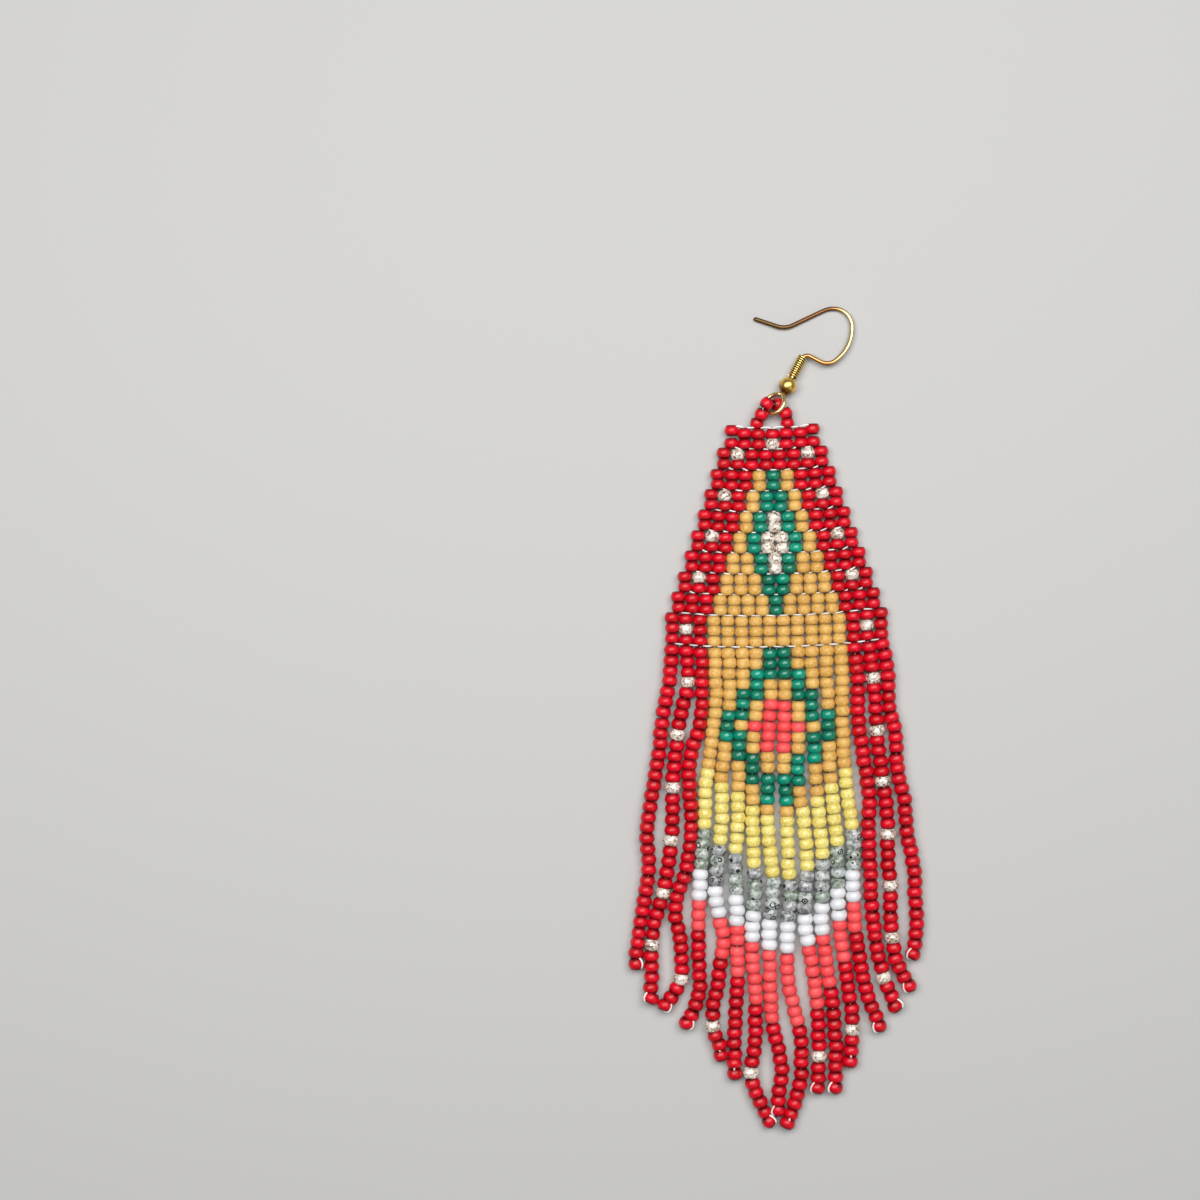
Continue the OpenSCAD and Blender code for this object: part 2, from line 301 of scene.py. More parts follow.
# Stone-finish glass: pale grey opaque beads with a fired-on metal-oxide glaze. No two are alike:
# the eye sees pale, smoky, mauve and mossy beads, with pale streaks, dark grit, rings and dots.
def stone_finish_glass(name):
    material, tree, place = new_material(name)
    tint = add_node(tree, "ShaderNodeAttribute", attribute_name="tint").outputs["Fac"]
    colour = add_node(tree, "ShaderNodeValToRGB", {"Fac": tint})
    stops = colour.color_ramp.elements
    stops[0].color = srgb("#CED2CF")
    stops[1].color = srgb("#BDC4BF")
    for position, code in ((0.25, "#A4A8A5"), (0.45, "#928D92"), (0.6, "#BABFBC"), (0.8, "#86937F")):
        stops.new(position).color = srgb(code)
    # Streaks and smoke of 0.7 mm, which differ from bead to bead, and grit of 0.3 mm
    own = add_node(tree, "ShaderNodeMath", {0: tint, 1: 30.0}, operation="MULTIPLY")
    smoke = add_node(tree, "ShaderNodeTexNoise", {
        "Vector": place, "W": own, "Scale": 1 / (0.7 * MM), "Detail": 3.0, "Distortion": 0.6},
        noise_dimensions="4D")
    grit = add_node(tree, "ShaderNodeTexNoise", {
        "Vector": place, "Scale": 1 / (0.3 * MM), "Roughness": 0.6})
    # Marks 1.5 mm apart: black rings 0.8 mm across round a pale eye in some, and dots in some
    marks = add_node(tree, "ShaderNodeTexVoronoi", {"Vector": place, "Scale": 1 / (1.5 * MM)})
    chance = add_node(tree, "ShaderNodeSeparateColor", {"Color": marks.outputs["Color"]}).outputs
    has_ring = add_node(tree, "ShaderNodeMath", {0: chance["Red"], 1: 0.5}, operation="GREATER_THAN")
    has_dot = add_node(tree, "ShaderNodeMath", {0: chance["Green"], 1: 0.55}, operation="GREATER_THAN")
    from_ring = add_node(tree, "ShaderNodeMath", {0: marks, 1: 0.26}, operation="SUBTRACT")
    off_ring = add_node(tree, "ShaderNodeMath", {0: from_ring}, operation="ABSOLUTE")
    # Laid over each other in this order, each from where its pattern starts to where it is full
    for pattern, start, full, most, chosen, code in (
        (smoke, 0.51, 0.62, 0.8, 1.0, "#4C514B"),
        (smoke, 0.46, 0.36, 0.6, 1.0, "#DEE3DF"),
        (grit, 0.58, 0.66, 0.6, 1.0, "#3F433C"),
        (marks, 0.22, 0.19, 0.7, has_ring, "#DDE3E0"),
        (off_ring, 0.085, 0.055, 1.0, has_ring, "#0E1012"),
        (marks, 0.16, 0.12, 1.0, has_dot, "#0E1012"),
    ):
        cover = add_node(tree, "ShaderNodeMapRange", {
            "Value": pattern, "From Min": start, "From Max": full, "To Max": most})
        share = add_node(tree, "ShaderNodeMath", {0: cover, 1: chosen}, operation="MULTIPLY")
        colour = add_node(tree, "ShaderNodeMix", {0: share, 6: colour, 7: srgb(code)}, data_type="RGBA")
    relief = add_node(tree, "ShaderNodeBump", {"Height": grit, "Distance": 0.02 * MM, "Strength": 0.4})
    shader = add_node(tree, "ShaderNodeBsdfPrincipled", {
        "Base Color": colour, "Roughness": 0.3, "IOR": 1.52, "Coat Weight": 0.3,
        "Coat Roughness": 0.2, "Normal": relief})
    add_node(tree, "ShaderNodeOutputMaterial", {"Surface": shader})
    return material


# Silver-lined crystal: clear glass over a silvered square hole. The eye sees a bright creamy
# sparkle from the lining, broken by small dark specks, under a hard gloss. The sparkle and the
# specks are painted into the base colour: a painted reflection of the lining.
def silver_lined_glass(name):
    material, tree, place = new_material(name)
    # Painted glints of 0.32 mm: bright and dark cells in the base colour
    painted_glints = add_node(tree, "ShaderNodeTexVoronoi", {"Vector": place, "Scale": 1 / (0.32 * MM)})
    shade = add_node(tree, "ShaderNodeSeparateColor", {"Color": painted_glints.outputs["Color"]})
    painted_sparkle = add_node(tree, "ShaderNodeValToRGB", {"Fac": shade.outputs["Red"]})
    stops = painted_sparkle.color_ramp.elements
    stops[0].position, stops[0].color = 0.06, srgb("#7C6858")
    stops[1].position, stops[1].color = 0.85, srgb("#FFFAF0")
    for position, code in ((0.2, "#BFAA96"), (0.5, "#DED0C0")):
        stops.new(position).color = srgb(code)
    relief = add_node(tree, "ShaderNodeBump", {"Height": painted_glints, "Distance": 0.04 * MM, "Strength": 0.6})
    shader = add_node(tree, "ShaderNodeBsdfPrincipled", {
        "Base Color": painted_sparkle, "Metallic": 0.15, "Roughness": 0.32, "IOR": 1.52,
        "Coat Weight": 1.0, "Coat Roughness": 0.06, "Normal": relief})
    add_node(tree, "ShaderNodeOutputMaterial", {"Surface": shader})
    return material


# ends gives the painted shade at each bead's ends, where it meets the next
GLASS = {
    "red": opaque_glass(
        "red_opaque_glass", "#C80015", "#E20424", "#A8000C", rough=0.33, gloss=0.4, ends=0.72),
    "gold": opaque_glass(
        "gold_opaque_glass", "#D29F4C", "#E0B05E", "#F0C878", rough=0.42, gloss=0.35,
        speck_share=0.5, fleck_share=0.22, ends=0.28),
    "coral": opaque_glass(
        "coral_matt_glass", "#EE464A", "#F85A5C", "#FE7070", rough=0.42, gloss=0.35, ends=0.3),
    "green": opaque_glass(
        "green_opaque_glass", "#007054", "#009E80", "#005A42", rough=0.24, gloss=0.6, ends=0.6),
    "yellow": opaque_glass(
        "yellow_opaque_glass", "#E2CA5A", "#EDDA72", "#FAF0B8", rough=0.32, speck_share=0.7,
        fleck_share=0.18, ends=0.22),
    "white": opaque_glass(
        "white_pearl_glass", "#DEDEE1", "#EAEAED", "#D4D4D8", rough=0.32, coat=0.15, ends=0.12),
    "grey": stone_finish_glass("grey_stone_finish_glass"),
    "silver": silver_lined_glass("silver_lined_crystal_glass"),
}
SQUARE_COLOURS = ("gold", "coral", "yellow")


def start_group(name, ports):
    """An empty Geometry Nodes tree that takes these ports and gives a mesh, and what it is given."""
    tree = bpy.data.node_groups.new(name, "GeometryNodeTree")
    for port, kind in ports.items():
        tree.interface.new_socket(port, in_out="INPUT", socket_type="NodeSocket" + kind)
    tree.interface.new_socket("Mesh", in_out="OUTPUT", socket_type="NodeSocketGeometry")
    return tree, add_node(tree, "NodeGroupInput").outputs


def end_group(tree, geometry, material):
    """Ends such a tree: its instances are made real, shaded smooth and given their material."""
    real = add_node(tree, "GeometryNodeRealizeInstances", {"Geometry": geometry})
    smooth = add_node(tree, "GeometryNodeSetShadeSmooth", {"Geometry": real})
    dressed = add_node(tree, "GeometryNodeSetMaterial", {"Geometry": smooth, "Material": material})
    add_node(tree, "NodeGroupOutput", {"Mesh": dressed})
    return tree


def stringing_tree():
    """Geometry Nodes: one shape set on every point, along the point's own way, a little uneven."""
    tree, given = start_group("strung_on_thread", {
        "Points": "Geometry", "Shape": "Object", "Tilt": "Float", "Roll": "Float", "Shift": "Float",
        "Uneven": "Float", "Length": "Float", "Seed": "Int", "Material": "Material"})
    # Seeds of the draws for turn, shift, width and colour, in this order
    seeds = [add_node(tree, "ShaderNodeMath", {0: given["Seed"], 1: step}, operation="ADD")
             for step in (0.0, 7.0, 13.0, 29.0)]
    shape = add_node(tree, "GeometryNodeObjectInfo", {"Object": given["Shape"]})
    way = add_node(tree, "GeometryNodeInputNamedAttribute", {"Name": "way"}, data_type="FLOAT_VECTOR")
    size = add_node(tree, "GeometryNodeInputNamedAttribute", {"Name": "size"})
    along = add_node(tree, "FunctionNodeAlignRotationToVector", {"Vector": way}, axis="Z")
    facing = add_node(tree, "FunctionNodeAlignRotationToVector", {
        "Rotation": along, "Vector": (0.0, 0.0, 1.0)}, axis="X", pivot_axis="Z")
    # Random turns: a tilt to either side, and a roll about the shape's own hole
    chance = add_node(tree, "FunctionNodeRandomValue", {
        0: (-1.0, -1.0, -1.0), 1: (1.0, 1.0, 1.0), "Seed": seeds[0]}, data_type="FLOAT_VECTOR")
    turn = add_node(tree, "ShaderNodeCombineXYZ", {0: given["Tilt"], 1: given["Tilt"], 2: given["Roll"]})
    uneven_turn = add_node(tree, "ShaderNodeVectorMath", {0: chance, 1: turn}, operation="MULTIPLY")
    extra = add_node(tree, "FunctionNodeEulerToRotation", {0: uneven_turn})
    rotation = add_node(tree, "FunctionNodeRotateRotation", {
        "Rotation": facing, "Rotate By": extra}, rotation_space="LOCAL")
    # Random shift on the surface, and only upwards out of it
    aside = add_node(tree, "FunctionNodeRandomValue", {
        0: (-1.0, -1.0, 0.0), 1: (1.0, 1.0, 0.5), "Seed": seeds[1]}, data_type="FLOAT_VECTOR")
    offset = add_node(tree, "ShaderNodeVectorMath", {
        0: aside, "Scale": given["Shift"]}, operation="SCALE")
    moved = add_node(tree, "GeometryNodeSetPosition", {"Geometry": given["Points"], "Offset": offset})
    grow = add_node(tree, "FunctionNodeRandomValue", {2: -1.0, 3: 1.0, "Seed": seeds[2]})
    grown = add_node(tree, "ShaderNodeMath", {
        0: grow, 1: given["Uneven"], 2: 1.0}, operation="MULTIPLY_ADD")
    across = add_node(tree, "ShaderNodeMath", {0: grown, 1: size}, operation="MULTIPLY")
    scale = add_node(tree, "ShaderNodeCombineXYZ", {0: across, 1: across, 2: given["Length"]})
    placed = add_node(tree, "GeometryNodeInstanceOnPoints", {
        "Points": moved, "Instance": shape.outputs["Geometry"], "Rotation": rotation, "Scale": scale})
    # Every bead keeps a number of its own, which its material reads
    tint = add_node(tree, "FunctionNodeRandomValue", {"Seed": seeds[3]})
    marked = add_node(tree, "GeometryNodeStoreNamedAttribute", {
        "Geometry": placed, "Name": "tint", "Value": tint}, domain="INSTANCE")
    return end_group(tree, marked, given["Material"])


def with_nodes(name, mesh, tree, values):
    """An object whose mesh is the tree's result, made plain. values are the tree's named inputs."""
    piece = put_in(name, mesh)
    modifier = piece.modifiers.new("nodes", "NODES")
    modifier.node_group = tree
    for port in tree.interface.items_tree:
        if port.name in values:
            modifier[port.identifier] = values[port.name]
    depsgraph = bpy.context.evaluated_depsgraph_get()
    result = bpy.data.meshes.new_from_object(piece.evaluated_get(depsgraph), depsgraph=depsgraph)
    piece.modifiers.remove(modifier)
    piece.data = result
    result.name = name
    return piece


strung_on_thread = stringing_tree()


def string_up(name, shape, material, spots, seed, tilt, roll=0.0, shift=0.0, uneven=0.0, length=1.0):
    """An object of like shapes. Each spot is (place, way of the hole, size across it), in mm."""
    places, ways, sizes = zip(*spots)
    points = bpy.data.meshes.new(name + "_points")
    points.from_pydata([Vector(place) * MM for place in places], [], [])
    points.attributes.new("way", "FLOAT_VECTOR", "POINT").data.foreach_set("vector", np.ravel(ways))
    points.attributes.new("size", "FLOAT", "POINT").data.foreach_set("value", sizes)
    return with_nodes(name, points, strung_on_thread, {
        "Shape": shape, "Tilt": math.radians(tilt), "Roll": math.radians(roll), "Shift": shift * MM,
        "Uneven": uneven, "Length": length, "Seed": seed, "Material": material})


def fit(piece, node):
    """A piece rides on the earring's one body, in place of a node of the frame."""
    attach(piece, "root")
    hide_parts(node)


def bead_pieces(part, node, beads, seed, tilt, shift, length):
    """The beads of one part, a piece for each colour. Each bead is (colour, place, way, size)."""
    for colour in GLASS:
        spots = [bead[1:] for bead in beads if bead[0] == colour]
        if not spots:
            continue
        shape = bead_shapes["square_bead" if colour in SQUARE_COLOURS else "rounded_bead"]
        seed += 1
        piece = string_up(f"{part}_{colour}_beads", shape, GLASS[colour], spots, seed=seed,
                          tilt=tilt, roll=180, shift=shift, uneven=0.015, length=length)
        smoother = piece.modifiers.new("hot_rounded", "SUBSURF")
        smoother.levels = smoother.render_levels = 1
        fit(piece, node)


# Size across the hole, where BEAD_R is 1, and how far the beads are held off the table
PANEL_SIZE = {"red": 1.03, "gold": 1.0, "green": 1.0, "coral": 1.0, "silver": 1.05}
PANEL_LIFT = 0.02
# The first row's corner beads stand up and lean inwards. Moves in and up: the upper bead's, and the
# lower's, which is counted from there
CORNER_MOVES = ((0.2, 0.32), (-0.1, 0.0))
down_panel = (math.sin(PANEL_TURN), -math.cos(PANEL_TURN), 0)
panel_beads = []
for row in range(ROWS):
    for i in range(columns(row)):
        x = column_x(row, i)
        for k in range(row_beads(row)):
            y = row * 2 * BEAD_PITCH + (k + 0.5) * BEAD_PITCH - rise(row, x)
            if row == 0 and i in (0, columns(0) - 1):
                inwards, up = CORNER_MOVES[k]
                x, y = x - inwards * math.copysign(1, x), y - up
            colour = panel_colour(row, i, k)
            size = PANEL_SIZE[colour]
            panel_beads.append((colour, (*lay(x, y), BEAD_R * size + PANEL_LIFT), down_panel, size))
bead_pieces("panel", "bead_panel", panel_beads, seed=100, tilt=4, shift=0.05, length=1.07)


# White nylon beading thread, 0.24 mm thick and lightly waxed: a dull white whose shade changes
# slowly along it. Its twist of about 0.3 mm is too fine to show, and isn't drawn.
beading_thread, tree, place = new_material("waxed_nylon_thread")
# Diagonal bands come every 2 pi / 10 units of the texture, here every 5 mm along an axis
waves = add_node(tree, "ShaderNodeTexWave", {
    "Vector": place, "Scale": 0.125 / MM, "Distortion": 2.0},
    bands_direction="DIAGONAL").outputs["Fac"]
shade = add_node(tree, "ShaderNodeMix", {
    0: waves, 6: srgb("#D9D6D0"), 7: srgb("#F7F6F3")}, data_type="RGBA")
relief = add_node(tree, "ShaderNodeBump", {"Height": waves, "Distance": 0.02 * MM, "Strength": 0.5})
nylon = add_node(tree, "ShaderNodeBsdfPrincipled", {
    "Base Color": shade, "Roughness": 0.55, "IOR": 1.53, "Sheen Weight": 0.2, "Normal": relief})
add_node(tree, "ShaderNodeOutputMaterial", {"Surface": nylon})
THREAD_R = 0.12
UP = (0, 0, 1)


def smooth_path(knots, steps):
    """A Catmull-Rom line through the knots, with that many steps between two of them."""
    knots = np.array(knots, dtype=float)
    padded = np.vstack([2 * knots[0] - knots[1], knots, 2 * knots[-1] - knots[-2]])
    line = []
    for k in range(len(knots) - 1):
        a, b, c, d = padded[k:k + 4]
        for t in np.arange(steps) / steps:
            line.append(0.5 * (2 * b + (c - a) * t + (2 * a - 5 * b + 4 * c - d) * t ** 2
                               + (3 * b - a - 3 * c + d) * t ** 3))
    return np.array(line + [knots[-1]])


# The round nose beyond each end of a wire, as (how far out, how wide) in radii
NOSE = [(0.5, 0.86), (0.92, 0.4)]


def swept(name, paths):
    """Round wires or threads in one mesh. Each path is (points, radii, sides, up). Its radii are one
    number, or a pair for each point, along up and across it. Both ends are closed with a nose."""
    verts, faces = [], []
    for points, radii, sides, up in paths:
        points = np.array(points, dtype=float)
        radii = np.broadcast_to(np.array(radii, dtype=float), (len(points), 2))
        ways = np.gradient(points, axis=0)
        ways /= np.linalg.norm(ways, axis=1)[:, None]
        head = [points[0] - ways[0] * radii[0].mean() * out for out, _ in reversed(NOSE)]
        tail = [points[-1] + ways[-1] * radii[-1].mean() * out for out, _ in NOSE]
        points = np.vstack([head, points, tail])
        head = [radii[0] * wide for _, wide in reversed(NOSE)]
        tail = [radii[-1] * wide for _, wide in NOSE]
        radii = np.vstack([head, radii, tail])
        ways = np.vstack([[ways[0]] * len(NOSE), ways, [ways[-1]] * len(NOSE)])
        normal = np.array(up, dtype=float)
        angles = (np.arange(sides) + 0.5) * 2 * math.pi / sides
        first = len(verts)
        for point, way, radius in zip(points, ways, radii):
            normal = normal - way * np.dot(normal, way)
            normal /= np.linalg.norm(normal)
            across = np.cross(way, normal)
            for angle in angles:
                verts.append((point + radius[0] * math.cos(angle) * normal
                              + radius[1] * math.sin(angle) * across) * MM)
        last = len(verts) - sides
        for ring in range(first, last, sides):
            faces += band(ring, ring + sides, sides)
        faces.append(tuple(reversed(range(first, first + sides))))
        faces.append(tuple(range(last, last + sides)))
    mesh = bpy.data.meshes.new(name)
    mesh.from_pydata([tuple(v) for v in verts], [], faces)
    mesh.shade_smooth()
    return mesh


def new_piece(name, mesh, material, node):
    mesh.materials.append(material)
    fit(put_in(name, mesh), node)


# One stitch: the thread leaves a bead, arches over to the next and enters it. It runs along Z and
# arches towards X, and every stitch is a turned copy. Here as (X, Z in columns).
STITCH_ARCH = ((-0.7, -0.42), (-0.4, -0.27), (0.0, -0.12), (0.0, 0.12), (-0.4, 0.27), (-0.7, 0.42))
arch = smooth_path([(out, 0, along * COLUMN_PITCH) for out, along in STITCH_ARCH], 2)
stitch_shape = bpy.data.objects.new("stitch", swept("stitch", [(arch, THREAD_R, 6, (0, 1, 0))]))

# How the thread lies in a seam: its height above the holes, and its slant
SEAMS = {
    # Above and below the last row it shows all along
    "last": ((0.98, 1.1), (-0.08, 0.08)),
    # Here it was pulled up on its way outwards, and shows as short slanted dashes
    "border": ((0.4, 0.9), (0.0, 0.45)),
    "field": ((0.0, 0.35), (-0.15, 0.15)),
}
SEAM_RISE = 0.05
stitches = []
draw = np.random.default_rng(5)
across_panel = Vector((math.cos(PANEL_TURN), math.sin(PANEL_TURN), 0))
up_panel = Vector((-math.sin(PANEL_TURN), math.cos(PANEL_TURN), 0))
for row in range(ROWS):
    for i in range(columns(row) - 1):
        left, right = column_x(row, i), column_x(row, i + 1)
        x = (left + right) / 2
        y = row * 2 * BEAD_PITCH + row_beads(row) * BEAD_PITCH - rise(row, x)
        slope = (rise(row, right) - rise(row, left)) / COLUMN_PITCH
        in_border = min(i, columns(row) - 2 - i) < BORDER_COLUMNS or row < 2
        seam = "last" if row >= ROWS - 2 else "border" if in_border else "field"
        heights, slants = SEAMS[seam]
        z = BEAD_R + draw.uniform(*heights)
        slant = draw.uniform(*slants) * (math.copysign(1, x) if seam == "border" else 1)
        way = across_panel + (slope + slant) * up_panel
        stitches.append(((*lay(x, y - SEAM_RISE), z), tuple(way), 1.0))
panel_thread = string_up("panel_thread", stitch_shape, beading_thread, stitches, seed=3, tilt=5)
fit(panel_thread, "bead_panel")

# Above the first row the thread shows as one low arc from each column to the next
top_arcs = []
for i in range(FIRST_COLUMNS - 1):
    x = (column_x(0, i) + column_x(0, i + 1)) / 2
    high = 0.12 + draw.uniform(0.0, 0.14)
    # Half of it, as part of a column aside, height over the row, and height above the holes
    left = [(-0.5, -0.4, 0.0), (-0.42, 0.0, 0.35), (-0.2, high, 0.6)]
    whole = left + [(-along, up, z) for along, up, z in reversed(left)]
    arc = [(*lay(x + along * COLUMN_PITCH, -up - rise(0, x)), BEAD_R + z) for along, up, z in whole]
    top_arcs.append((smooth_path(arc, 3), THREAD_R * 1.15, 6, UP))
top_mesh = swept("panel_top_thread", top_arcs)
new_piece("panel_top_thread", top_mesh, beading_thread, "bead_panel")


# ---- Bead fringe ----
# Sixteen strands of the same beads, hung from the panel's last row. The thread goes down through
# each strand, out of the last bead's far end, round its outside and back up.
STRAND_ROOM = 1.66
FRINGE_GAP = 0.12
FRINGE_LIFT = 0.05
# From the middle of a strand's last bead to the strand's end
END_ROOM = 1.07
PANEL_HEIGHT = (ROWS - 1) * 2 * BEAD_PITCH + 3 * BEAD_PITCH
# Size across the hole, where BEAD_R is 1. Loose on their thread, these beads show their full width,
# unless the next strand leaves less room.
FRINGE_SIZE = {
    "red": 1.13, "gold": 1.06, "coral": 1.08, "green": 1.09, "yellow": 1.07, "white": 1.17,
    "grey": 1.14, "silver": 1.17,
}
LEAST_SIZE = 0.98
SHARE_OF_ROOM = 1.04
# Beads, the strand's length as the room of so many beads, then how far it lies right of its own
# head at each tenth of its length
STRANDS = [
    (31, 31.7, -0.4, -1.4, -2.0, -2.7, -3.6, -4.1, -3.8, -4.6, -5.5, -6.0),
    (34, 34.9, 0.3, -1.0, -1.7, -2.3, -2.3, -2.9, -3.9, -5.4, -5.6, -5.7),
    (36, 36.0, 0.5, 0.0, -1.6, -1.7, -1.5, -2.3, -4.0, -3.3, -3.2, -6.4),
    (38, 37.2, 0.5, -0.1, -1.0, -1.5, -1.7, -2.3, -2.5, -2.5, -2.5, -4.9),
    (40, 40.2, 0.4, 0.1, -1.0, -1.0, -1.6, -2.0, -0.9, -1.6, -2.5, -0.5),
    (42, 41.7, 0.2, -0.4, -0.6, -0.7, -1.1, -0.9, -0.8, -0.9, -1.3, -1.3),
    (46, 46.6, 0.0, -0.6, -0.6, -0.5, -0.3, -0.7, -0.2, -0.1, -0.6, 3.3),
    (45, 45.4, 0.0, -0.4, -0.4, -0.3, 0.5, -0.1, 0.0, 0.4, 1.8, 0.6),
    (46, 46.9, 0.1, -0.1, 0.3, 0.5, 0.9, 0.5, 0.8, 2.6, 2.5, 0.1),
    (42, 43.3, -0.1, 0.0, 0.0, 1.0, 1.4, 1.0, 2.1, 3.0, 3.3, 3.0),
    (42, 43.3, -0.2, 0.3, 0.6, 1.3, 1.7, 1.5, 2.3, 3.3, 3.8, 3.6),
    (40, 40.8, 0.2, 0.4, 0.7, 1.3, 1.9, 1.9, 2.5, 3.5, 4.2, 3.8),
    (38, 37.8, 0.4, 0.4, 0.7, 1.4, 2.2, 2.1, 2.3, 3.2, 4.5, 6.7),
    (36, 36.0, 0.7, 0.7, 1.5, 2.4, 2.4, 2.6, 2.8, 3.5, 4.8, 7.1),
    (34, 34.3, 0.9, 1.3, 1.7, 2.5, 3.2, 3.2, 3.6, 3.7, 4.6, 7.2),
    (31, 31.3, 1.0, 1.2, 2.2, 2.5, 3.6, 4.0, 5.1, 5.4, 5.5, 4.9),
]
# Silver beads near the ends of some strands: strand, and place counted from its last bead
END_DOTS = {2: 4, 4: 4, 6: 6, 9: 4, 11: 4, 13: 4}
# Side on which each strand's thread comes back round its last bead: -1 left, 1 right, 0 under it
TURN_SIDES = [1, -1, 1, 1, 0, 0, 1, -1, 0, -1, -1, 0, -1, 1, -1, -1]


def strand_line(i):
    """The strand's way on the surface: each tenth keeps its length, however far it goes sideways."""
    _, rooms, *aside = STRANDS[i]
    x = column_x(ROWS - 1, i)
    knots = [lay(x, PANEL_HEIGHT + FRINGE_GAP - rise(ROWS - 1, x))]
    stretch = rooms * STRAND_ROOM / len(aside)
    for before, now in zip([0] + aside, aside):
        last = knots[-1]
        step = now - before
        knots.append((last[0] + step, last[1] - math.sqrt(stretch ** 2 - step ** 2)))
    return smooth_path(knots, 12)


def strand_colour(i, n):
    """Red outer strands with silver dots, and the panel's ten field columns carried on."""
    count, last = STRANDS[i][0], len(STRANDS) - 1
    if n == count - 1:
        return "red"
    if i in END_DOTS and n == count - END_DOTS[i]:
        return "silver"
    if min(i, last - i) < BORDER_COLUMNS:
        return "silver" if i in (1, last - 1) and n % 5 == 3 and n < 30 else "red"
    return field_colour(abs(i - last / 2), n + row_beads(ROWS - 1))


def strung_line(i):
    """Middles of the strand's beads, evenly spaced on its way."""
    line = strand_line(i)
    count = STRANDS[i][0]
    run = np.concatenate([[0], np.cumsum(np.linalg.norm(np.diff(line, axis=0), axis=1))])
    at = (np.arange(count) + 0.5) * (run[-1] - END_ROOM) / (count - 0.5)
    return np.stack([np.interp(at, run, line[:, 0]), np.interp(at, run, line[:, 1])], axis=1)


def bead_ways(middles):
    ways = np.gradient(middles, axis=0)
    return ways / np.linalg.norm(ways, axis=1)[:, None]


# The strands lie side by side: where one would run into either of the next two, both give way
# sideways, a little in each round
SIDE_BY_SIDE = 2.2
ROUNDS = 80
NEAR = 2
strung = [strung_line(i) for i in range(len(STRANDS))]
for _ in range(ROUNDS):
    pushes = [np.zeros_like(middles) for middles in strung]
    for i in range(len(strung)):
        for j in range(i + 1, min(i + 1 + NEAR, len(strung))):
            gap = strung[i][:, None] - strung[j][None]
            away = np.linalg.norm(gap, axis=2)
            push = np.clip(SIDE_BY_SIDE - away, 0, None)[:, :, None] * gap / away[:, :, None] / 2
            strongest = np.abs(push).sum(axis=2)
            pushes[i] += np.take_along_axis(push, strongest.argmax(axis=1)[:, None, None], 1)[:, 0]
            pushes[j] -= np.take_along_axis(push, strongest.argmax(axis=0)[None, :, None], 0)[0]
    for middles, push in zip(strung, pushes):
        aside = bead_ways(middles)[:, ::-1] * (-1, 1)
        push = (push * aside).sum(axis=1)
        push[1:-1] = 0.25 * push[:-2] + 0.5 * push[1:-1] + 0.25 * push[2:]
        push[:2] = 0
        middles += 0.5 * push[:, None] * aside

# The thread lies through the strands a little above the beads' middles, and shows at their ends
CORE_HEIGHT = BEAD_R * 1.06
TURN_R = THREAD_R * 1.25
# It pulls the last bead up, and over towards its own side
PULLED_UP = 0.08
TIPPED, HARDLY_TIPPED = math.radians(20), math.radians(5)
TURN_LEAN = math.radians(50)
# Its turn, as (along the strand, out from its middle). Where it comes back under the bead, only an
# arc into the seam above shows.
SIDE_TURN = [(0.8, 0.1), (0.95, 0.4), (0.8, 0.88), (0.35, 1.2), (-0.3, 1.2), (-0.78, 0.92),
             (-0.95, 0.55), (-1.05, 0.2)]
SEAM_TURN = [(-1.08, 0.6), (-0.96, 0.92), (-0.87, 0.98), (-0.78, 0.92), (-0.66, 0.6)]
up = np.array(UP)
fringe_beads = []
fringe_paths = []
for i, middles in enumerate(strung):
    side = TURN_SIDES[i]
    others = np.vstack([strung[j] for j in range(len(strung)) if 0 < abs(j - i) <= NEAR])
    for n, (middle, way) in enumerate(zip(middles, bead_ways(middles))):
        colour = strand_colour(i, n)
        room = np.linalg.norm(others - middle, axis=1).min()
        size = max(LEAST_SIZE, min(FRINGE_SIZE[colour], SHARE_OF_ROOM * room / 2 / BEAD_R))
        height = BEAD_R * size + FRINGE_LIFT
        if n == len(middles) - 1:
            down = np.array([*way, 0])
            out = np.array([-down[1], down[0], 0]) * (side or 1)
            tip = TIPPED if side else HARDLY_TIPPED
            c, s = math.cos(tip), math.sin(tip)
            down, out = down * c + out * s, out * c - down * s
            middle = middle - PULLED_UP * way
            last = np.array([*middle, height])
            way = down[:2]
        fringe_beads.append((colour, (*middle, height), (*way, 0), size))
    x = column_x(ROWS - 1, i)
    core = [(*lay(x, PANEL_HEIGHT - rise(ROWS - 1, x)), BEAD_R)]
    core += [(*middle, CORE_HEIGHT) for middle in middles]
    fringe_paths.append((core, THREAD_R, 5, UP))
    over = out * math.sin(TURN_LEAN) + up * math.cos(TURN_LEAN) if side else up
    bend = [last + down * along + over * off * size for along, off in (SIDE_TURN if side else SEAM_TURN)]
    fringe_paths.append((smooth_path(bend, 4), TURN_R, 6, UP))
bead_pieces("fringe", "bead_fringe", fringe_beads, seed=200, tilt=7, shift=0.1, length=1.12)
fringe_mesh = swept("fringe_thread", fringe_paths)
new_piece("fringe_thread", fringe_mesh, beading_thread, "bead_fringe")


# ---- Hanging loop ----
# Six red beads on the panel's thread, bent over the lower arc of the hook's eye ring. Its feet
# stand on the third and fifth columns of the first row.
LOOP_BEADS = [
    # place, the hole's way in degrees left of straight up, and its climb
    ((-3.15, 47.15, 1.2), 8, 10),
    ((-2.5, 48.5, 2.26), -15, 15),
    ((-1.65, 50.2, 2.26), -40, 0),
    ((0.1, 50.15, 1.3), -88, -30),
    ((1.45, 48.7, 1.45), -160, 0),
    ((1.75, 47.15, 1.1), -180, 0),
]
LOOP_SIZE = 0.98
HALF_HOLE = 0.6
LOOP_FEET = ((-3.05, 45.9, BEAD_R), (1.72, 45.9, BEAD_R))


